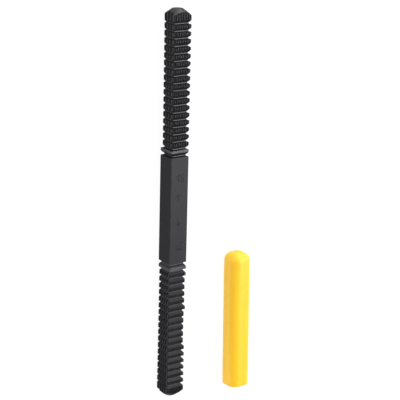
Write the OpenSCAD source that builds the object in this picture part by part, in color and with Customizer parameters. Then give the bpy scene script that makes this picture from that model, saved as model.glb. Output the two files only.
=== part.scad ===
/* [Bar] */
// Width across the flats of the square bar
bar_w = 12.7; // [10:0.1:16]
// Overall length of the bar, tip to tip
bar_len = 254; // [180:1:320]
// Length of the plain shank in the middle
shank_len = 69.4; // [40:0.1:100]

/* [Teeth] */
// Distance from one gullet to the next along the bar
tooth_pitch = 4.6; // [3.4:0.1:7]
// Depth of a gullet below the face
gullet_depth = 1.4; // [0.8:0.02:1.8]
// Length of the steep flank that faces the tip
rake_run = 0.6; // [0.4:0.05:1.2]
// Length of the flat at the root of a gullet
root_run = 0.5; // [0.1:0.05:0.8]
// Length of the sloping flank that faces the shank
back_run = 1.6; // [0.8:0.05:1.8]
// Shortest plain land left between the last gullet and the tip
tip_land = 6; // [5:0.1:10]

/* [Thread pitches, left end] */
// Thread pitch on the bottom face
left_bottom_pitch = 1.75; // [0.75:0.25:3]
// Thread pitch on the back face
left_back_pitch = 1.0; // [0.75:0.25:3]
// Thread pitch on the top face
left_top_pitch = 1.25; // [0.75:0.25:3]
// Thread pitch on the front face
left_front_pitch = 3.0; // [0.75:0.25:3]

/* [Thread pitches, right end] */
// Thread pitch on the bottom face
right_bottom_pitch = 1.5; // [0.75:0.25:3]
// Thread pitch on the back face
right_back_pitch = 2.0; // [0.75:0.25:3]
// Thread pitch on the top face
right_top_pitch = 0.75; // [0.75:0.25:3]
// Thread pitch on the front face
right_front_pitch = 2.5; // [0.75:0.25:3]

/* [Corners and tips] */
// Bevel along the plain corners of the toothed ends
corner_bevel = 1.2; // [0.4:0.1:1.6]
// Bevel along the front bottom corner of the left end, beside the coarsest thread
coarse_bevel = 2.0; // [0.4:0.1:2]
// Bevel along the back top corner of the left end
fine_bevel = 0.3; // [0.2:0.1:1.6]
// Diameter of the flat on each tip
tip_flat_d = 6.8; // [4:0.1:9]
// Half angle of the cone turned on each tip
tip_angle = 54; // [30:1:65]

/* [Sleeve] */
// Gap between a face of the bar and the sleeve's inner wall
sleeve_fit = 0.25; // [0.1:0.05:0.6]
// Wall thickness of the sleeve
sleeve_wall = 1.2; // [0.8:0.1:1.6]
// Outer corner radius of the sleeve as moulded
sleeve_corner = 5.7; // [3:0.1:5.8]
// How far a fitted sleeve reaches past the toothed end onto the shank
sleeve_over = 0.5; // [0:0.5:15]

/* [Place of the loose sleeve] */
// Gap between the bar and the sleeve that lies beside it
sleeve_gap = 36; // [4:1:80]
// Distance from the end of the shank to the sleeve's closed end
sleeve_shift = 1.8; // [0:0.1:40]
// Angle between the sleeve and the bar on the bench
sleeve_turn = 1.2; // [0:0.1:4]

/* [Hidden] */

half_w = bar_w / 2;
half_len = bar_len / 2;
half_shank = shank_len / 2;

// Gullet roots, counted from the shank outwards
first_root = half_shank + rake_run + root_run / 2;
half_gullet = root_run / 2 + back_run;
last_root_limit = half_len - tip_land - half_gullet;
gullet_count = floor((last_root_limit - first_root) / tooth_pitch) + 1;

// The first tooth on each end is plain; the thread ridges start at the second gullet
ridge_start = first_root + tooth_pitch;

// Thread form: a 60 degree vee with an eighth of the pitch left flat on crest and root
flank_slope = tan(60);
flat_share = 1 / 8;

left_pitches = [left_bottom_pitch, left_back_pitch, left_top_pitch, left_front_pitch];
left_bevels = [corner_bevel, fine_bevel, corner_bevel, coarse_bevel];
right_pitches = [right_bottom_pitch, right_back_pitch, right_top_pitch, right_front_pitch];
right_bevels = [corner_bevel, corner_bevel, corner_bevel, corner_bevel];

sleeve_bore_half = half_w + sleeve_fit;
sleeve_half = sleeve_bore_half + sleeve_wall;
sleeve_bore_corner = sleeve_corner - sleeve_wall;
sleeve_len = sleeve_wall + half_len - half_shank + sleeve_over;
sleeve_x = half_shank + sleeve_shift;
sleeve_y = half_w + sleeve_gap + sleeve_half;

// Steps round each corner and over the closed end of the sleeve, and the angle at which its flat end begins
corner_steps = 8;
dome_steps = 7;
dome_edge = 84;

// The four corners of valley i of count, as [along the face, depth]
function valley_points(pitch, i, count) =
    let (
        centre = (i - (count - 1) / 2) * pitch,
        mouth = pitch * (1 - flat_share) / 2,
        root = pitch * flat_share / 2,
        depth = (mouth - root) * flank_slope
    )
    [[centre - mouth, 0], [centre - root, depth], [centre + root, depth], [centre + mouth, 0]];

// Points along one face, from its first bevel to its second, as [along the face, depth]
function face_points(pitch, bevel_1, bevel_2) =
    let (
        room = 2 * (half_w - max(bevel_1, bevel_2)),
        count = floor((room + pitch * flat_share) / pitch)
    )
    concat(
        [[-half_w + bevel_1, 0]],
        [for (i = [0 : count - 1]) each valley_points(pitch, i, count)],
        [[half_w - bevel_2, 0]]
    );

// A face point carried round to its side: bottom, back, top, front
function turned(p, side) =
    side == 0 ? [p[0], -half_w + p[1]] :
    side == 1 ? [half_w - p[1], p[0]] :
    side == 2 ? [-p[0], half_w - p[1]] :
                [-half_w + p[1], -p[0]];

function section_points(pitches, bevels) = [
    for (side = [0 : 3])
        each [for (p = face_points(pitches[side], bevels[(side + 3) % 4], bevels[side])) turned(p, side)]
];

// Upper edge of the bar seen from the side, from the middle out to the right tip
function tooth_edge() = concat(
    [for (k = [0 : gullet_count - 1])
        let (root = first_root + k * tooth_pitch)
        each [
            [root - root_run / 2 - rake_run, half_w],
            [root - root_run / 2, half_w - gullet_depth],
            [root + root_run / 2, half_w - gullet_depth],
            [root + half_gullet, half_w]
        ]
    ],
    [[half_len, half_w]]
);

function mirror_x(points) = [for (i = [len(points) - 1 : -1 : 0]) [-points[i][0], points[i][1]]];
function mirror_y(points) = [for (i = [len(points) - 1 : -1 : 0]) [points[i][0], -points[i][1]]];

module tooth_slab() {
    upper = concat(mirror_x(tooth_edge()), tooth_edge());
    rotate([90, 0, 0])
        linear_extrude(2 * bar_w, center = true)
            polygon(concat(upper, mirror_y(upper)));
}

module ridged_end(pitches, bevels) {
    translate([ridge_start, 0, 0])
        rotate([90, 0, 90])
            linear_extrude(half_len - ridge_start)
                polygon(section_points(pitches, bevels));
}

module left_end() {
    mirror([1, 0, 0]) ridged_end(left_pitches, left_bevels);
}

module right_end() {
    ridged_end(right_pitches, right_bevels);
}

module tip_envelope() {
    reach = bar_w;
    cone_len = (reach - tip_flat_d / 2) / tan(tip_angle);
    rotate([0, 90, 0])
        rotate_extrude($fn = 96)
            polygon([
                [0, -half_len],
                [tip_flat_d / 2, -half_len],
                [reach, -half_len + cone_len],
                [reach, half_len - cone_len],
                [tip_flat_d / 2, half_len],
                [0, half_len]
            ]);
}

module file_bar() {
    color("#3a3a3c")
        translate([0, 0, half_w])
            intersection() {
                union() {
                    cube([2 * ridge_start, bar_w, bar_w], center = true);
                    left_end();
                    right_end();
                }
                tooth_slab();
                rotate([90, 0, 0]) tooth_slab();
                tip_envelope();
            }
}

// A rounded square across the x axis, counted anticlockwise from the +Y side
function ring(x, half, corner) = [
    for (quarter = [0 : 3], i = [0 : corner_steps])
        let (
            middle = 45 + 90 * quarter,
            a = 90 * (quarter + i / corner_steps),
            reach = sqrt(2) * (half - corner)
        )
        [x, reach * cos(middle) + corner * cos(a), reach * sin(middle) + corner * sin(a)]
];

// Rings from the flat of a domed end at x out to where the sides run straight
function dome_rings(x, half, corner) = [
    for (i = [0 : dome_steps])
        let (a = dome_edge * (1 - i / dome_steps))
        ring(x + corner * (1 - sin(a)), half - corner * (1 - cos(a)), corner * cos(a))
];

function backwards(list) = [for (i = [len(list) - 1 : -1 : 0]) list[i]];

// A closed skin over rings of equal length, from the first ring to the last
module skin(rings) {
    n = len(rings[0]);
    last = len(rings) - 1;
    sides = [
        for (k = [0 : last - 1], i = [0 : n - 1])
            let (j = (i + 1) % n)
            [k * n + i, (k + 1) * n + i, (k + 1) * n + j, k * n + j]
    ];
    start = [for (i = [0 : n - 1]) i];
    end = [for (i = [n - 1 : -1 : 0]) last * n + i];
    polyhedron([for (r = rings) each r], concat([start], sides, [end]));
}

module grip_sleeve() {
    outside = concat(
        dome_rings(0, sleeve_half, sleeve_corner),
        [ring(sleeve_len, sleeve_half, sleeve_corner)]
    );
    inside = concat(
        dome_rings(sleeve_wall, sleeve_bore_half, sleeve_bore_corner),
        [ring(sleeve_len, sleeve_bore_half, sleeve_bore_corner)]
    );
    color("#fdd23c")
        translate([sleeve_x, sleeve_y, sleeve_half])
            rotate([0, 0, sleeve_turn])
                skin(concat(outside, backwards(inside)));
}

file_bar();
grip_sleeve();
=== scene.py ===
import math
from functools import partial

import bmesh
import bpy
from mathutils import Matrix, Vector, noise


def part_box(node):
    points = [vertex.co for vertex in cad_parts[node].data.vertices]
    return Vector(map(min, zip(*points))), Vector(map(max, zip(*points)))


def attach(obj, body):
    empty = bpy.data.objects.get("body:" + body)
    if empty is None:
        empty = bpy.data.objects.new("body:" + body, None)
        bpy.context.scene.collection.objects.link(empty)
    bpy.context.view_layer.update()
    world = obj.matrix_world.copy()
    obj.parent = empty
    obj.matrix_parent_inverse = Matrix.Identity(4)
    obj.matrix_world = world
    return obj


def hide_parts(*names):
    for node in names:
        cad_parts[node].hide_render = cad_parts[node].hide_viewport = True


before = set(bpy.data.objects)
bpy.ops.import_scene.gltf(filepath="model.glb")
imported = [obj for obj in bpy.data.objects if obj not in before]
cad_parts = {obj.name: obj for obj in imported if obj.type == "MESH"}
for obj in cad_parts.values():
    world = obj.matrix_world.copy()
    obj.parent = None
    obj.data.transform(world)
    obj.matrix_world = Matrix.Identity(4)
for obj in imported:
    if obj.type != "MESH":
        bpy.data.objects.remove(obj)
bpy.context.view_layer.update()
barLow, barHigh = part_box("file_bar")
sleeveLow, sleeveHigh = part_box("grip_sleeve")
print("frame loaded:", sorted(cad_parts))

mm = 0.001


def srgb(hexColour):  # "#rrggbb" to the linear colour that Blender works in
    parts = [int(hexColour[i:i + 2], 16) / 255 for i in (1, 3, 5)]
    return tuple(p / 12.92 if p <= 0.04045 else ((p + 0.055) / 1.055) ** 2.4 for p in parts) + (1.0,)


def addNode(tree, kind, *values, **settings):
    # A node with its settings, and with values and links given by place, or by socket name in a dictionary
    node = tree.nodes.new(kind)
    node.location = (220 * (len(tree.nodes) % 12), -260 * (len(tree.nodes) // 12))
    for key, value in settings.items():
        setattr(node, key, value)
    wanted = {}
    for place, value in enumerate(values):
        wanted.update(value if isinstance(value, dict) else {place: value})
    for key, value in wanted.items():
        for item in value if isinstance(value, list) else [value]:
            if isinstance(item, bpy.types.Node):  # stands for its first output in use
                item = next(socket for socket in item.outputs if socket.enabled)
            if isinstance(item, bpy.types.NodeSocket):
                tree.links.new(item, node.inputs[key])
            else:
                node.inputs[key].default_value = item
    return node


def newGeometryTree(name, sizes):  # a tree with named inputs; gives the tree, addNode for it and its input sockets
    tree = bpy.data.node_groups.new(name, "GeometryNodeTree")
    for label, (kind, value) in sizes.items():
        socket = tree.interface.new_socket(label, in_out="INPUT", socket_type="NodeSocket" + kind)
        if value is not None:
            socket.default_value = value
    tree.interface.new_socket("Mesh", in_out="OUTPUT", socket_type="NodeSocketGeometry")
    return tree, partial(addNode, tree), addNode(tree, "NodeGroupInput").outputs


# Camera

cameraSet = {
    "aim": (-2.63, 20.30, 6.35),  # mm
    "azimuth": -27.21,  # degrees, 0 looks along +Y
    "elevation": 51.77,
    "roll": 113.48,  # the bar stands upright in the picture
    "distance": 895.9,  # mm
    "lens": 126.08,
}


def makeCamera():
    azimuth, elevation = (math.radians(cameraSet[k]) for k in ("azimuth", "elevation"))
    level = math.cos(elevation)
    back = Vector((math.sin(azimuth) * level, -math.cos(azimuth) * level, math.sin(elevation)))
    data = bpy.data.cameras.new("Camera")
    data.lens = cameraSet["lens"]
    data.sensor_width = 36
    data.clip_start, data.clip_end = 0.01, 20
    camera = bpy.data.objects.new("Camera", data)
    bpy.context.scene.collection.objects.link(camera)
    turn = (-back).to_track_quat("-Z", "Y").to_matrix()
    turn = turn @ Matrix.Rotation(math.radians(cameraSet["roll"]), 3, "Z")
    place = (Vector(cameraSet["aim"]) + back * cameraSet["distance"]) * mm
    camera.matrix_world = Matrix.LocRotScale(place, turn.to_quaternion(), None)
    bpy.context.scene.camera = camera


makeCamera()
print("camera set")


# The thread file: a square bar with form cutters run along and across both ends

fileBar = {
    "shank": 69.4,  # mm, plain length in the middle
    "edge": 0.1,  # rounding of the bar's long edges
    "tipFlat": 6.8,  # diameter
    "tipAngle": 54,  # degrees, half angle of the cone
    "toothPitch": 4.6,
    "teeth": 19,  # gullets on each end
    "rakeRun": 0.63,  # steep flank of a gullet, facing the tip
    "rootRun": 0.54,
    "backRun": 1.75,  # easy flank, facing the shank
    "knee": (0.85, 0.4),  # where the easy flank bends: run from the root, share of the depth left
    "kneeRadius": 0.5,
    "lipRadius": 0.12,
    "ridgeStart": 5.6,  # from the shank's end to the first ridges
    "wander": 0.05,  # how far a gullet is off its place or depth
    # Depth of the gullet next to the shank and of the one next to the tip
    "gulletDepths": {
        "left": {"top": (1.42, 1.42), "back": (1.42, 1.42), "bottom": (1.7, 1.36), "front": (1.7, 1.36)},
        "right": {"top": (1.42, 1.42), "back": (1.42, 1.42), "bottom": (1.26, 0.7), "front": (1.26, 0.7)},
    },
    # Thread pitch, valleys and sideways shift of the row on each face
    "veeRows": {
        "left": {"top": (1.25, 9, 0.2), "back": (1.0, 11, 0), "bottom": (1.75, 5, 0), "front": (3.0, 3, 0.2)},
        "right": {"top": (0.75, 14, 0), "back": (2.0, 5, 0), "bottom": (1.5, 7, 0), "front": (2.5, 4, -0.2)},
    },
    # Long corners of the toothed ends: angle round the bar, where from and to past the shank's end, bevel at each
    "cornerCuts": [
        ("left", 135, 5.2, 93, 1.2, 1.1),
        ("left", 225, 5.2, 93, 2.25, 1.8),
        ("left", 315, 5.2, 93, 1.2, 1.2),
        ("right", 45, 10.0, 28.3, 1.1, 1.15),
        ("right", 45, 32.8, 56.0, 1.45, 1.6),
        ("right", 45, 56.0, 93, 0.25, 0.2),
        ("right", 135, 5.2, 93, 1.15, 1.1),
        ("right", 225, 5.2, 93, 0.95, 0.5),
        ("right", 315, 5.2, 93, 1.1, 0.9),
    ],
    # Marks stamped in the shank's top face: the pitch number of each end and arrows that point to it
    "numbers": [("1.25", -21.4), ("0.75", 23.6)],
    "numberSize": 3.3,
    "numberSide": 1.7,  # from the bar's middle line towards its back face
    "arrows": [(-21.4, -1), (-8.6, -1), (7.2, 1), (23.6, 1)],  # place along the bar and the way it points
    "arrowSide": -0.9,
    "arrowLength": 5.0,
    "arrowHead": 1.9,
    "stroke": 0.42,
    "stampDepth": 0.17,
}

faceTurns = {"top": 0, "back": -90, "bottom": 180, "front": 90}  # degrees about the bar's axis


def makePrismTree():  # a flat outline drawn out along Z and capped
    tree, add, given = newGeometryTree("Prism", {"Outline": ("Geometry", None), "Length": ("Float", mm)})
    face = add("GeometryNodeFillCurve", {"Curve": given["Outline"]}, mode="NGONS")
    drawn = add("GeometryNodeExtrudeMesh", {"Mesh": face, "Offset Scale": given["Length"], "Individual": False})
    cap = add("GeometryNodeFlipFaces", {"Mesh": face})
    both = add("GeometryNodeJoinGeometry", {"Geometry": [drawn, cap]})
    closed = add("GeometryNodeMergeByDistance", {"Geometry": both, "Distance": 1e-6})
    add("NodeGroupOutput", {"Mesh": closed})
    return tree


def makeCutterRowTree(prismTree):
    # One form cutter along local Y, repeated along local X, with the work's face at z = 0
    tree, add, given = newGeometryTree("Cutter Row", {
        "Root Width": ("Float", 0.2 * mm), "Depth": ("Float", mm),
        "Near Run": ("Float", mm), "Far Run": ("Float", mm),
        "Knee Run": ("Float", 0.5 * mm), "Knee Depth": ("Float", 0.5 * mm), "Knee Radius": ("Float", 0),
        "Lip Radius": ("Float", 0.1 * mm), "Wing": ("Float", 0.1 * mm), "Height": ("Float", mm),
        "From": ("Float", 0), "Length": ("Float", mm),
        "Start": ("Float", 0), "Count": ("Int", 1), "Spacing": ("Float", mm),
        "Rise": ("Float", 0), "Wander": ("Float", 0), "Seed": ("Int", 1)})

    # The cutter's outline, from the root round to the near lip
    lift = add("ShaderNodeMath", given["Lip Radius"], 0.1, operation="MULTIPLY")  # the wings pass above the face
    over = add("ShaderNodeMath", lift, given["Depth"], operation="DIVIDE")
    over = add("ShaderNodeMath", over, 1, operation="ADD")
    halfRoot = add("ShaderNodeMath", given["Root Width"], 0.5, operation="MULTIPLY")
    minusHalf = add("ShaderNodeMath", halfRoot, -1, operation="MULTIPLY")
    root = add("ShaderNodeMath", given["Depth"], -1, operation="MULTIPLY")
    kneeX = add("ShaderNodeMath", halfRoot, given["Knee Run"], operation="ADD")
    kneeY = add("ShaderNodeMath", given["Knee Depth"], -1, operation="MULTIPLY")
    far = add("ShaderNodeMath", given["Far Run"], over, halfRoot, operation="MULTIPLY_ADD")
    near = add("ShaderNodeMath", given["Near Run"], over, halfRoot, operation="MULTIPLY_ADD")
    near = add("ShaderNodeMath", near, -1, operation="MULTIPLY")
    farWing = add("ShaderNodeMath", far, given["Wing"], operation="ADD")
    nearWing = add("ShaderNodeMath", near, given["Wing"], operation="SUBTRACT")
    rootRadius = add("ShaderNodeMath", halfRoot, 0.6, operation="MULTIPLY").outputs[0]
    lip, top = given["Lip Radius"], given["Height"]
    corners = [(minusHalf, root, rootRadius), (halfRoot, root, rootRadius), (kneeX, kneeY, given["Knee Radius"]),
               (far, lift, lip), (farWing, lift, None), (farWing, top, None),
               (nearWing, top, None), (nearWing, lift, None), (near, lift, lip)]
    index = add("GeometryNodeInputIndex")
    place = add("GeometryNodeIndexSwitch", {"Index": index}, data_type="VECTOR")
    radius = add("GeometryNodeIndexSwitch", {"Index": index}, data_type="FLOAT")
    for i, (x, y, rounding) in enumerate(corners):
        if i > 1:
            place.index_switch_items.new()
            radius.index_switch_items.new()
        tree.links.new(add("ShaderNodeCombineXYZ", x, y).outputs[0], place.inputs[str(i)])
        if rounding:
            tree.links.new(rounding, radius.inputs[str(i)])
    ring = add("GeometryNodeCurvePrimitiveCircle", {"Resolution": len(corners)})
    shaped = add("GeometryNodeSetPosition", {"Geometry": ring, "Position": place})
    eased = add("GeometryNodeFilletCurve", {"Curve": shaped, "Count": 2, "Radius": radius}, mode="POLY")
    cutter = add("GeometryNodeGroup", {"Outline": eased, "Length": given["Length"]}, node_tree=prismTree)
    end = add("ShaderNodeMath", given["From"], given["Length"], operation="ADD")
    laid = add("GeometryNodeTransform", {"Geometry": cutter, "Rotation": (math.pi / 2, 0, 0),
                                         "Translation": add("ShaderNodeCombineXYZ", {"Y": end})})

    # The row, with each cutter a little off its place and depth
    line = add("GeometryNodeMeshLine", {
        "Count": given["Count"],
        "Start Location": add("ShaderNodeCombineXYZ", {"X": given["Start"]}),
        "Offset": add("ShaderNodeCombineXYZ", {"X": given["Spacing"]})})
    low = add("ShaderNodeMath", given["Wander"], -1, operation="MULTIPLY")
    seeds = [add("ShaderNodeMath", given["Seed"], shift, operation="ADD") for shift in (0, 50)]
    wander = [add("FunctionNodeRandomValue", {"Min": low, "Max": given["Wander"], "Seed": seed}, data_type="FLOAT")
              for seed in seeds]
    last = add("ShaderNodeMath", given["Count"], 1, operation="SUBTRACT")
    share = add("ShaderNodeMath", index, last, operation="DIVIDE")
    climb = add("ShaderNodeMath", share, given["Rise"], wander[1], operation="MULTIPLY_ADD")
    off = add("ShaderNodeCombineXYZ", {"X": wander[0], "Z": climb})
    points = add("GeometryNodeSetPosition", {"Geometry": line, "Offset": off})
    row = add("GeometryNodeInstanceOnPoints", {"Points": points, "Instance": laid})
    add("NodeGroupOutput", {"Mesh": add("GeometryNodeRealizeInstances", {"Geometry": row})})
    return tree


def makeFileTree(prismTree, rowTree):
    tree, add, given = newGeometryTree("Thread File", {
        "Length": ("Float", 254 * mm), "Width": ("Float", 12.7 * mm), "Shank": ("Float", 70 * mm),
        "Edge": ("Float", 0.1 * mm), "Tip Flat": ("Float", 7 * mm), "Tip Slope": ("Float", 1.0),
        "Tooth Pitch": ("Float", 5 * mm), "Ridge Start": ("Float", 5 * mm),
        "Wander": ("Float", 0), "Seed": ("Int", 1), "Material": ("Material", None)})
    halfLength, halfWidth, halfShank = (add("ShaderNodeMath", given[size], 0.5, operation="MULTIPLY")
                                        for size in ("Length", "Width", "Shank"))

    # The stock: a square bar a little too long, turned to a cone at both tips
    spare = 2 * mm
    square = add("GeometryNodeCurvePrimitiveQuadrilateral", {"Width": given["Width"], "Height": given["Width"]})
    eased = add("GeometryNodeFilletCurve", {"Curve": square, "Count": 3, "Radius": given["Edge"]}, mode="POLY")
    rough = add("ShaderNodeMath", given["Length"], 2 * spare, operation="ADD")
    blank = add("GeometryNodeGroup", {"Outline": eased, "Length": rough}, node_tree=prismTree)
    flat = add("ShaderNodeMath", given["Tip Flat"], 0.5, operation="MULTIPLY")
    wide = add("ShaderNodeMath", given["Length"], given["Tip Slope"], flat, operation="MULTIPLY_ADD")
    cone = add("GeometryNodeMeshCone", {"Vertices": 96, "Radius Bottom": flat, "Radius Top": wide,
                                        "Depth": given["Length"]})
    leftTip = add("ShaderNodeMath", halfLength, -1, operation="MULTIPLY")
    blankStart = add("ShaderNodeMath", leftTip, spare, operation="SUBTRACT")
    turned = [add("GeometryNodeTransform", {"Geometry": mesh, "Rotation": (0, way * math.pi / 2, 0),
                                            "Translation": add("ShaderNodeCombineXYZ", {"X": x})})
              for mesh, way, x in ((blank, 1, blankStart), (cone, 1, leftTip), (cone, -1, halfLength))]
    stock = add("GeometryNodeMeshBoolean", {"Mesh 2": turned}, operation="INTERSECT", solver="MANIFOLD")

    # The cutters: gullets across and thread valleys along each face of each end
    rows = []  # end, face, turn on the face and sizes
    rake, rootRun = fileBar["rakeRun"], fileBar["rootRun"]
    kneeRun, kneeShare = fileBar["knee"]
    for endIndex, end in enumerate(("left", "right")):
        for faceIndex, face in enumerate(faceTurns):
            first, last = fileBar["gulletDepths"][end][face]
            rows.append((end, face, 0, {
                "Root Width": rootRun * mm, "Depth": first * mm, "Near Run": rake * mm,
                "Far Run": fileBar["backRun"] * mm, "Knee Run": kneeRun * mm,
                "Knee Depth": first * kneeShare * mm, "Knee Radius": fileBar["kneeRadius"] * mm,
                "Lip Radius": fileBar["lipRadius"] * mm, "Wing": 0.5 * mm, "Height": 2 * mm,
                "From": -10 * mm, "Length": 20 * mm,
                "Start": add("ShaderNodeMath", halfShank, (rake + rootRun / 2) * mm, operation="ADD"),
                "Count": fileBar["teeth"], "Spacing": given["Tooth Pitch"],
                "Rise": (first - last) * mm, "Wander": given["Wander"],
                "Seed": add("ShaderNodeMath", given["Seed"], 10 * endIndex + faceIndex, operation="ADD")}))
            pitch, count, shift = fileBar["veeRows"][end][face]
            side = -1 if end == "right" else 1
            mouth = pitch * 7 / 16  # an eighth of the pitch is left flat on the crest and at the root
            run = mouth - pitch / 16
            depth = run * math.tan(math.radians(60))
            rows.append((end, face, -math.pi / 2, {
                "Root Width": pitch / 8 * mm, "Depth": depth * mm, "Near Run": run * mm, "Far Run": run * mm,
                "Knee Run": run / 2 * mm, "Knee Depth": depth / 2 * mm, "Knee Radius": 0.0,
                "Lip Radius": pitch / 24 * mm, "Wing": pitch / 40 * mm, "Height": 1 * mm,
                "From": add("ShaderNodeMath", halfShank, given["Ridge Start"], operation="ADD"), "Length": 100 * mm,
                "Start": (side * shift - (count - 1) / 2 * pitch) * mm, "Count": count, "Spacing": pitch * mm}))
    cutters = []
    toFace = add("ShaderNodeCombineXYZ", {"Z": halfWidth})
    for end, face, turn, sizes in rows:
        row = add("GeometryNodeGroup", sizes, node_tree=rowTree)
        turn += 0 if end == "right" else math.pi
        onFace = add("GeometryNodeTransform", {"Geometry": row, "Rotation": (0, 0, turn), "Translation": toFace})
        cutters.append(add("GeometryNodeTransform", {"Geometry": onFace,
                                                     "Rotation": (math.radians(faceTurns[face]), 0, 0)}))

    # Long corners taken down with a flat stone
    block = 8 * mm
    width = barHigh.z - barLow.z
    for end, angle, start, stop, bevelStart, bevelStop in fileBar["cornerCuts"]:
        side = 1 if end == "right" else -1
        span = (stop - start) * mm
        deepStart, deepStop = ((width - b * mm) / math.sqrt(2) for b in (bevelStart, bevelStop))
        tilt = math.atan2(side * (deepStop - deepStart), span)
        turn = Matrix.Rotation(math.radians(angle), 3, "X") @ Matrix.Rotation(tilt, 3, "Z")
        middle = Vector((side * (fileBar["shank"] / 2 + (start + stop) / 2) * mm, 0, 0))
        middle += turn @ Vector((0, (deepStart + deepStop) / 2 + block / 2, 0))
        cube = add("GeometryNodeMeshCube", {"Size": (span, block, block)})
        cutters.append(add("GeometryNodeTransform", {"Geometry": cube, "Rotation": tuple(turn.to_euler()),
                                                     "Translation": tuple(middle)}))

    # Marks stamped in the shank
    markHeight = width / 2 - fileBar["stampDepth"] * mm
    for text, x in fileBar["numbers"]:
        letters = add("GeometryNodeStringToCurves", {"String": text, "Size": fileBar["numberSize"] * mm,
                                                     "Character Spacing": 1.05}, align_x="CENTER", align_y="MIDDLE")
        loose = add("GeometryNodeRealizeInstances", {"Geometry": letters})
        punch = add("GeometryNodeGroup", {"Outline": loose, "Length": 2 * mm}, node_tree=prismTree)
        cutters.append(add("GeometryNodeTransform", {
            "Geometry": punch, "Translation": (x * mm, fileBar["numberSide"] * mm, markHeight)}))
    stroke, head, tip = (fileBar[size] * mm for size in ("stroke", "arrowHead", "arrowLength"))
    tip /= 2
    bars = [(0, 0, 2 * tip - stroke, 0), (tip - head / 2, head / 2, head * 1.41, -45),
            (tip - head / 2, -head / 2, head * 1.41, 45)]
    for x, way in fileBar["arrows"]:
        for along, across, length, angle in bars:
            punch = add("GeometryNodeMeshCube", {"Size": (length, stroke, 2 * mm)})
            cutters.append(add("GeometryNodeTransform", {
                "Geometry": punch, "Rotation": (0, 0, math.radians(angle * way)),
                "Translation": (x * mm + way * along, fileBar["arrowSide"] * mm + across, markHeight + mm)}))

    cut = add("GeometryNodeMeshBoolean", {"Mesh 1": stock, "Mesh 2": cutters}, operation="DIFFERENCE",
              solver="MANIFOLD")
    lifted = add("GeometryNodeTransform", {"Geometry": cut, "Translation": toFace})
    real = add("GeometryNodeRealizeInstances", {"Geometry": lifted})
    done = add("GeometryNodeSetMaterial", {"Geometry": real, "Material": given["Material"]})
    add("NodeGroupOutput", {"Mesh": done})
    return tree


def plainMesh(name, tree, values, material):  # runs a tree on an empty mesh and keeps the result as a new piece
    holder = bpy.data.objects.new(name + "Tree", bpy.data.meshes.new(name + "Tree"))
    bpy.context.scene.collection.objects.link(holder)
    modifier = holder.modifiers.new("Nodes", "NODES")
    modifier.node_group = tree
    for socket in tree.interface.items_tree:
        if socket.in_out == "INPUT" and socket.name in values:
            modifier[socket.identifier] = values[socket.name]
    evaluated = holder.evaluated_get(bpy.context.evaluated_depsgraph_get())
    mesh = bpy.data.meshes.new_from_object(evaluated)
    holder.modifiers.remove(modifier)
    bpy.data.objects.remove(holder)
    mesh.name = name
    mesh.materials.clear()
    mesh.materials.append(material)
    return addPiece(name, mesh)


def addPiece(name, mesh):  # a mesh as an object at the origin, with doubles merged and no slivers
    tidy = bmesh.new()
    tidy.from_mesh(mesh)
    bmesh.ops.remove_doubles(tidy, verts=tidy.verts, dist=0.002 * mm)
    bmesh.ops.dissolve_degenerate(tidy, edges=tidy.edges, dist=0.001 * mm)
    bmesh.ops.recalc_face_normals(tidy, faces=tidy.faces)
    openEdges = sum(1 for e in tidy.edges if len(e.link_faces) != 2)
    print(name + ":", len(tidy.faces), "faces,", openEdges, "open edges, volume",
          round(tidy.calc_volume() / mm ** 3), "mm3")
    tidy.to_mesh(mesh)
    tidy.free()
    piece = bpy.data.objects.new(name, mesh)
    bpy.context.scene.collection.objects.link(piece)
    return piece


# Materials

def newMaterial(name):  # an empty material, and addNode for it
    material = bpy.data.materials.new(name)
    material.use_nodes = True
    material.node_tree.nodes.clear()
    return material, partial(addNode, material.node_tree)


steelFinish = {
    "body": "#343436",
    "patch": "#363638",  # where the oxide is a little thinner
    "gullet": "#4d4d4f",  # painted light: flanks that face along the bar and the gullet roots are drawn lighter, in place of light falling into the gullets
    "crest": "#646466",  # crests and edges that are rubbed
    "edgeTint": 0.5,  # how much of the light that grazes the oxide comes back
    "crestDepth": 0.16,  # mm below the bar's face at which the rubbing ends
    "patchSize": 7.0,  # mm
    "speckSize": 0.9,  # rubbing on the crests
    "nickSize": 2.5,  # rubbing on the edges
    "grindWidth": 0.5,  # mm between grinding lines; real ones are about 0.1 and wouldn't show
    "grindLength": 14,  # mm
    "grain": 0.35,  # mm, the oxide's own grain, real one 0.05
    "rubbing": 0.8,  # how bare the crests and edges are, 0 to 1
    "grindRelief": 0.03,  # mm
    "grainRelief": 0.02,
    "roughness": (0.43, 0.47),  # smoothest and dullest patches
}


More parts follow.
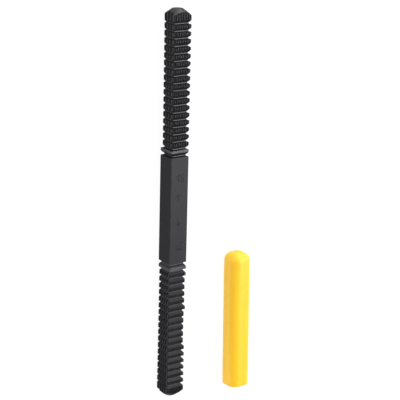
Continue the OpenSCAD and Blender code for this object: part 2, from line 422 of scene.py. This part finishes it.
def makeBlackOxideSteel():
    # Hardened tool steel, ground and milled, then blackened in hot salts: a dark satin skin with a soft sheen,
    # fine lines from the grinding wheel, and greyer where crests and edges have been rubbed
    material, add = newMaterial("Black Oxide Tool Steel")
    half = (barHigh.z - barLow.z) / 2 / mm

    coordinates = add("ShaderNodeTexCoord").outputs
    inMm = add("ShaderNodeVectorMath", coordinates["Object"], (1 / mm, 1 / mm, 1 / mm), operation="MULTIPLY")
    xyz = add("ShaderNodeSeparateXYZ", inMm).outputs
    sideways = add("ShaderNodeMath", xyz["Y"], operation="ABSOLUTE")
    upright = add("ShaderNodeMath", add("ShaderNodeMath", xyz["Z"], half, operation="SUBTRACT"), operation="ABSOLUTE")
    outer = add("ShaderNodeMath", sideways, upright, operation="MAXIMUM")
    inner = add("ShaderNodeMath", sideways, upright, operation="MINIMUM")
    depth = add("ShaderNodeMath", half, outer, operation="SUBTRACT")  # below the nearest face

    # Skin, with painted light in the gullets (lighter flanks and roots) and rubbed crests and edges
    patches = add("ShaderNodeTexNoise", {"Vector": inMm, "Scale": 1 / steelFinish["patchSize"], "Detail": 3})
    specks = add("ShaderNodeTexNoise", {"Vector": inMm, "Scale": 1 / steelFinish["speckSize"], "Detail": 2})
    nicks = add("ShaderNodeTexNoise", {"Vector": inMm, "Scale": 1 / steelFinish["nickSize"], "Detail": 2})
    masks = {}  # 0 at the first value, 1 at the second
    fromMiddle = add("ShaderNodeMath", xyz["X"], operation="ABSOLUTE")
    onEnd = fileBar["shank"] / 2 + 1
    facing = add("ShaderNodeSeparateXYZ", coordinates["Normal"])
    alongBar = add("ShaderNodeMath", facing, operation="ABSOLUTE")
    # the flank, root and gullet masks place the painted light in the gullets
    for name, value, low, high in (
            ("patch", patches, 0.35, 0.7), ("speck", specks, 0.25, 0.7), ("nick", nicks, 0.3, 0.8),
            ("crest", depth, steelFinish["crestDepth"], 0.02), ("tooth", fromMiddle, onEnd, onEnd + 1),
            ("edge", inner, half - 0.14, half - 0.04), ("flank", alongBar, 0.2, 0.6),
            ("root", depth, 1.0, 1.25), ("gullet", depth, 0.45, 0.85), ("ground", depth, 0.3, 0.1)):
        masks[name] = add("ShaderNodeMapRange", value, low, high, interpolation_type="SMOOTHSTEP")
    rubbed = add("ShaderNodeMath", masks["crest"], masks["tooth"], operation="MULTIPLY")
    rubbed = add("ShaderNodeMath", rubbed, masks["speck"], operation="MULTIPLY")
    atEdge = add("ShaderNodeMath", masks["edge"], masks["nick"], operation="MULTIPLY")
    wear = add("ShaderNodeMath", rubbed, atEdge, operation="MAXIMUM")
    wear = add("ShaderNodeMath", wear, steelFinish["rubbing"], operation="MULTIPLY")
    # painted light: faces that point along the bar and the gullet roots get the lighter gullet colour, standing in
    # for light falling into the gullets
    paintedGulletLight = add("ShaderNodeMath", masks["flank"], masks["root"], operation="MAXIMUM")
    paintedGulletLight = add("ShaderNodeMath", paintedGulletLight, masks["gullet"], operation="MULTIPLY")
    colour = srgb(steelFinish["body"])
    for name, share in (("patch", masks["patch"]), ("gullet", paintedGulletLight), ("crest", wear)):
        colour = add("ShaderNodeMix", {"Factor": share, "A": colour, "B": srgb(steelFinish[name])}, data_type="RGBA")

    # Grinding lines, grain and gloss
    stretch = steelFinish["grindWidth"] / steelFinish["grindLength"]
    drawn = add("ShaderNodeMapping", {"Vector": inMm, "Scale": (stretch, 1, 1)})
    lines = add("ShaderNodeTexNoise", {"Vector": drawn, "Scale": 1 / steelFinish["grindWidth"], "Detail": 3})
    grain = add("ShaderNodeTexNoise", {"Vector": inMm, "Scale": 1 / steelFinish["grain"], "Detail": 3})
    uneven = add("ShaderNodeMath", lines, 0.4, operation="MULTIPLY")
    uneven = add("ShaderNodeMath", patches, 0.6, uneven, operation="MULTIPLY_ADD")
    gloss = add("ShaderNodeMapRange", uneven, 0.3, 0.7, *steelFinish["roughness"])
    ground = add("ShaderNodeMath", lines, masks["ground"], operation="MULTIPLY")  # the wheel touched the faces only
    lined = add("ShaderNodeBump", {"Strength": 0.5, "Distance": steelFinish["grindRelief"] * mm, "Height": ground})
    grained = add("ShaderNodeBump", {"Strength": 0.35, "Distance": steelFinish["grainRelief"] * mm,
                                     "Height": grain, "Normal": lined})
    shader = add("ShaderNodeBsdfPrincipled", {
        "Base Color": colour, "Roughness": gloss, "Normal": grained, "Metallic": 1.0,
        "Specular Tint": (steelFinish["edgeTint"],) * 3 + (1,)})
    add("ShaderNodeOutputMaterial", {"Surface": shader})
    return material


vinylFinish = {
    "light": "#ffc81c",
    "deep": "#fcc416",  # where the coat is a little thicker
    "cloudSize": 9.0,  # mm
    "runWidth": 3.0,
    "runRelief": 0.02,
    "orangePeel": 1.6,  # between ripples
    "peelRelief": 0.015,
    "poreSize": 0.4,
    "poreRelief": 0.004,
    "roughness": (0.37, 0.44),  # least and most, along the runs
    "scatter": 1.2,  # mm that light travels under the surface
}


def makeDippedVinyl():
    # Plastisol vinyl, dip-moulded on a hot mandrel and stripped: even soft yellow with a moist gloss,
    # faint orange peel, long slow runs along the dip, and light that creeps a little way into the wall
    material, add = newMaterial("Dip Moulded Vinyl")
    place = add("ShaderNodeTexCoord").outputs["Object"]
    inMm = add("ShaderNodeVectorMath", place, (1 / mm, 1 / mm, 1 / mm), operation="MULTIPLY")
    clouds = add("ShaderNodeTexNoise", {"Vector": inMm, "Scale": 1 / vinylFinish["cloudSize"], "Detail": 3})
    drawn = add("ShaderNodeMapping", {"Vector": inMm, "Scale": (0.12, 1, 1)})
    runs = add("ShaderNodeTexNoise", {"Vector": drawn, "Scale": 1 / vinylFinish["runWidth"], "Detail": 2})
    peel = add("ShaderNodeTexNoise", {"Vector": inMm, "Scale": 1 / vinylFinish["orangePeel"], "Detail": 1})
    pores = add("ShaderNodeTexNoise", {"Vector": inMm, "Scale": 1 / vinylFinish["poreSize"], "Detail": 2})
    tone = add("ShaderNodeMix", {"Factor": add("ShaderNodeMapRange", clouds, 0.35, 0.65),
                                 "A": srgb(vinylFinish["light"]), "B": srgb(vinylFinish["deep"])}, data_type="RGBA")
    gloss = add("ShaderNodeMapRange", runs, 0.3, 0.7, *vinylFinish["roughness"])
    normal = None
    for height, relief, strength in ((runs, "runRelief", 0.3), (peel, "peelRelief", 0.3), (pores, "poreRelief", 0.2)):
        under = {"Normal": normal} if normal else {}
        normal = add("ShaderNodeBump", {"Strength": strength, "Distance": vinylFinish[relief] * mm,
                                        "Height": height, **under})
    shader = add("ShaderNodeBsdfPrincipled", {
        "Base Color": tone, "Roughness": gloss, "Normal": normal,
        "IOR": 1.53,  # plasticised PVC
        "Subsurface Weight": 0.12, "Subsurface Radius": (1.0, 0.55, 0.12),
        "Subsurface Scale": vinylFinish["scatter"] * mm})
    add("ShaderNodeOutputMaterial", {"Surface": shader})
    return material


prismTree = makePrismTree()
fileTree = makeFileTree(prismTree, makeCutterRowTree(prismTree))
print("file and cutter trees built")
steel = makeBlackOxideSteel()
vinyl = makeDippedVinyl()
print("steel and vinyl made")
bar = plainMesh("threadFile", fileTree, {
    "Length": barHigh.x - barLow.x, "Width": barHigh.z - barLow.z,
    "Shank": fileBar["shank"] * mm, "Edge": fileBar["edge"] * mm,
    "Tip Flat": fileBar["tipFlat"] * mm, "Tip Slope": math.tan(math.radians(fileBar["tipAngle"])),
    "Tooth Pitch": fileBar["toothPitch"] * mm, "Ridge Start": fileBar["ridgeStart"] * mm,
    "Wander": fileBar["wander"] * mm, "Seed": 7,
    "Material": steel}, steel)
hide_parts("file_bar")
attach(bar, "bar")


# The sleeve: a dip-moulded cap, stripped from a square mandrel and trimmed square at its mouth

gripSleeve = {
    "length": 94.0,  # mm
    "wall": 1.2,
    "corner": 5.7,  # outer corner radius, also that of the domed end
    "turn": 1.2,  # degrees from the bar's axis
    "taper": 0.35,  # how far each side draws in at the closed end
    "taperRun": 18,
    "nub": 0.3,  # drip left at the middle of the closed end
    "nubRun": 1.7,
    "lip": 0.3,  # rounding of the mouth's edges
    "hollow": 0.12,  # how far the soft flats sink in
    "ripple": 0.1,  # how far the sides wander inwards
    "cornerSteps": 12,
    "flatSteps": 6,
    "domeSteps": 14,
    "rings": 72,
}


def sleeveRing(x, half, corner, soften):  # points round the axis of a rounded square, with sunken flats
    points = []
    reach = half - corner
    for quarter in range(4):
        turn = Matrix.Rotation(math.pi / 2 * quarter, 2)
        for i in range(gripSleeve["cornerSteps"]):
            a = math.pi / 2 * i / gripSleeve["cornerSteps"]
            points.append(turn @ Vector((reach + corner * math.cos(a), reach + corner * math.sin(a))))
        for i in range(gripSleeve["flatSteps"]):
            share = i / gripSleeve["flatSteps"]
            sink = soften * gripSleeve["hollow"] * math.sin(math.pi * share) ** 2
            points.append(turn @ Vector((reach * (1 - 2 * share), half - sink)))
    ring = []
    for p in points:
        wander = noise.noise(Vector((x / 21, p.x / 9 + 3, p.y / 9))) * 0.5 + 0.5
        p = p * (1 - soften * gripSleeve["ripple"] * wander / max(p.length, 1))
        ring.append(Vector((x, p.x, p.y)))
    return ring


def makeSleeveMesh():
    turn = math.radians(gripSleeve["turn"])
    outerHalf = (sleeveHigh.z - sleeveLow.z) / 2 / mm
    mouth = Vector((sleeveHigh.x / mm - outerHalf * math.sin(turn), sleeveHigh.y / mm - outerHalf * math.cos(turn),
                    sleeveLow.z / mm + outerHalf))
    length, wall, lip = (gripSleeve[k] for k in ("length", "wall", "lip"))
    way = Matrix.Rotation(turn, 3, "Z")
    start = mouth - way @ Vector((length, 0, 0))

    def drawnIn(x):  # how far the sides stand in near the closed end
        return gripSleeve["taper"] * (1 - min(x / gripSleeve["taperRun"], 1)) ** 2

    def skin(inset):  # the rings of one side of the wall, from the closed end's middle to the mouth, and its pole
        radius = gripSleeve["corner"] - inset
        crown = gripSleeve["nub"] + inset
        rings = []
        for i in range(1, 4):  # the flat in the middle of the dome, with the drip on it
            half = (outerHalf - gripSleeve["corner"]) * i / 4
            rings.append((crown, half, half * 0.98, 0))
        for i in range(gripSleeve["domeSteps"] + 1):
            a = math.pi / 2 * (1 - i / gripSleeve["domeSteps"])
            half = outerHalf - inset - radius * (1 - math.cos(a))
            x = crown + (radius - gripSleeve["nub"]) * (1 - math.sin(a))
            rings.append((x, half, max(radius * math.cos(a), half * 0.6), math.cos(a) ** 2))
        first, last = rings[-1][0], length - lip
        for i in range(1, gripSleeve["rings"]):
            x = first + (last - first) * i / gripSleeve["rings"]
            rings.append((x, outerHalf - inset, radius, 1))
        sign = -1 if inset else 1
        for a in (0, 30, 60, 90):
            back = lip * (1 - math.cos(math.radians(a))) * sign
            rings.append((last + lip * math.sin(math.radians(a)), outerHalf - inset - back, radius - back, 1))
        drip = gripSleeve["nub"] if inset == 0 else gripSleeve["nub"] / 2
        out = []
        for x, half, corner, soften in rings:
            ring = sleeveRing(x, half - drawnIn(x) * min(half / 4, 1), corner, soften)
            for p in ring:
                p.x -= drip * math.exp(-((p.y ** 2 + p.z ** 2) / gripSleeve["nubRun"] ** 2))
            out.append(ring)
        return out, Vector((crown - drip, 0, 0))

    outside, outerPole = skin(0)
    inside, innerPole = skin(wall)
    rings = outside + inside[::-1]
    around = len(rings[0])
    points = [start + way @ p for ring in rings for p in ring]
    faces = []
    for k in range(len(rings) - 1):
        for i in range(around):
            j = (i + 1) % around
            faces.append((k * around + i, (k + 1) * around + i, (k + 1) * around + j, k * around + j))
    for pole, base in ((outerPole, 0), (innerPole, (len(rings) - 1) * around)):
        points.append(start + way @ pole)
        for i in range(around):
            faces.append((len(points) - 1, base + i, base + (i + 1) % around))
    mesh = bpy.data.meshes.new("gripSleeve")
    mesh.from_pydata([p * mm for p in points], [], faces)
    mesh.polygons.foreach_set("use_smooth", [True] * len(mesh.polygons))
    return mesh


sleeveMesh = makeSleeveMesh()
sleeveMesh.materials.append(vinyl)
sleeve = addPiece("gripSleeveVinyl", sleeveMesh)
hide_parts("grip_sleeve")
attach(sleeve, "sleeve")


# Floor, light and world

lightTable = {
    "reach": 3,  # metres from the middle to each side
    "drop": 0.2,  # mm below the part
    "colour": "#606060",
    "glow": 0.92,
    "sky": 0.5,
}


def makeLightTable():
    reach, low = lightTable["reach"], -lightTable["drop"] * mm
    corners = [(x * reach, y * reach, low) for x, y in ((-1, -1), (1, -1), (1, 1), (-1, 1))]
    mesh = bpy.data.meshes.new("floor")
    mesh.from_pydata(corners, [], [(0, 1, 2, 3)])
    floor = bpy.data.objects.new("floor", mesh)
    bpy.context.scene.collection.objects.link(floor)
    material, add = newMaterial("White Light Table")
    shader = add("ShaderNodeBsdfPrincipled", {
        "Base Color": srgb(lightTable["colour"]), "Roughness": 0.9,
        "Emission Color": (1, 1, 1, 1), "Emission Strength": lightTable["glow"]})
    add("ShaderNodeOutputMaterial", {"Surface": shader})
    mesh.materials.append(material)


softboxes = {  # direction from the object, distance and size in metres, radiance
    "back": ((-0.12, 0.60, 0.72), 1.3, (1.2, 0.9), 4.1),
    "overhead": ((-0.14, 0.05, 0.97), 1.25, (1.3, 0.9), 0.9),
    "side": ((-0.92, 0.38, 0.18), 1.4, (1.2, 0.5), 4.6),
    "fill": ((-0.27, -0.93, 0.25), 1.5, (1.8, 0.7), 2.4),
}


def addSoftbox(name, way, distance, size, radiance):
    data = bpy.data.lights.new(name, "AREA")
    data.shape = "RECTANGLE"
    data.size, data.size_y = size
    data.energy = radiance * math.pi * size[0] * size[1]
    light = bpy.data.objects.new(name, data)
    bpy.context.scene.collection.objects.link(light)
    way = Vector(way).normalized()
    light.matrix_world = Matrix.LocRotScale(way * distance, way.to_track_quat("Z", "Y"), None)


makeLightTable()
for name, (way, distance, size, radiance) in softboxes.items():
    addSoftbox(name, way, distance, size, radiance)
world = bpy.data.worlds.new("World")
bpy.context.scene.world = world
world.use_nodes = True
world.node_tree.nodes["Background"].inputs["Color"].default_value = (1, 1, 1, 1)
world.node_tree.nodes["Background"].inputs["Strength"].default_value = lightTable["sky"]
bpy.context.scene.view_settings.view_transform = "Standard"
print("stage and light set")
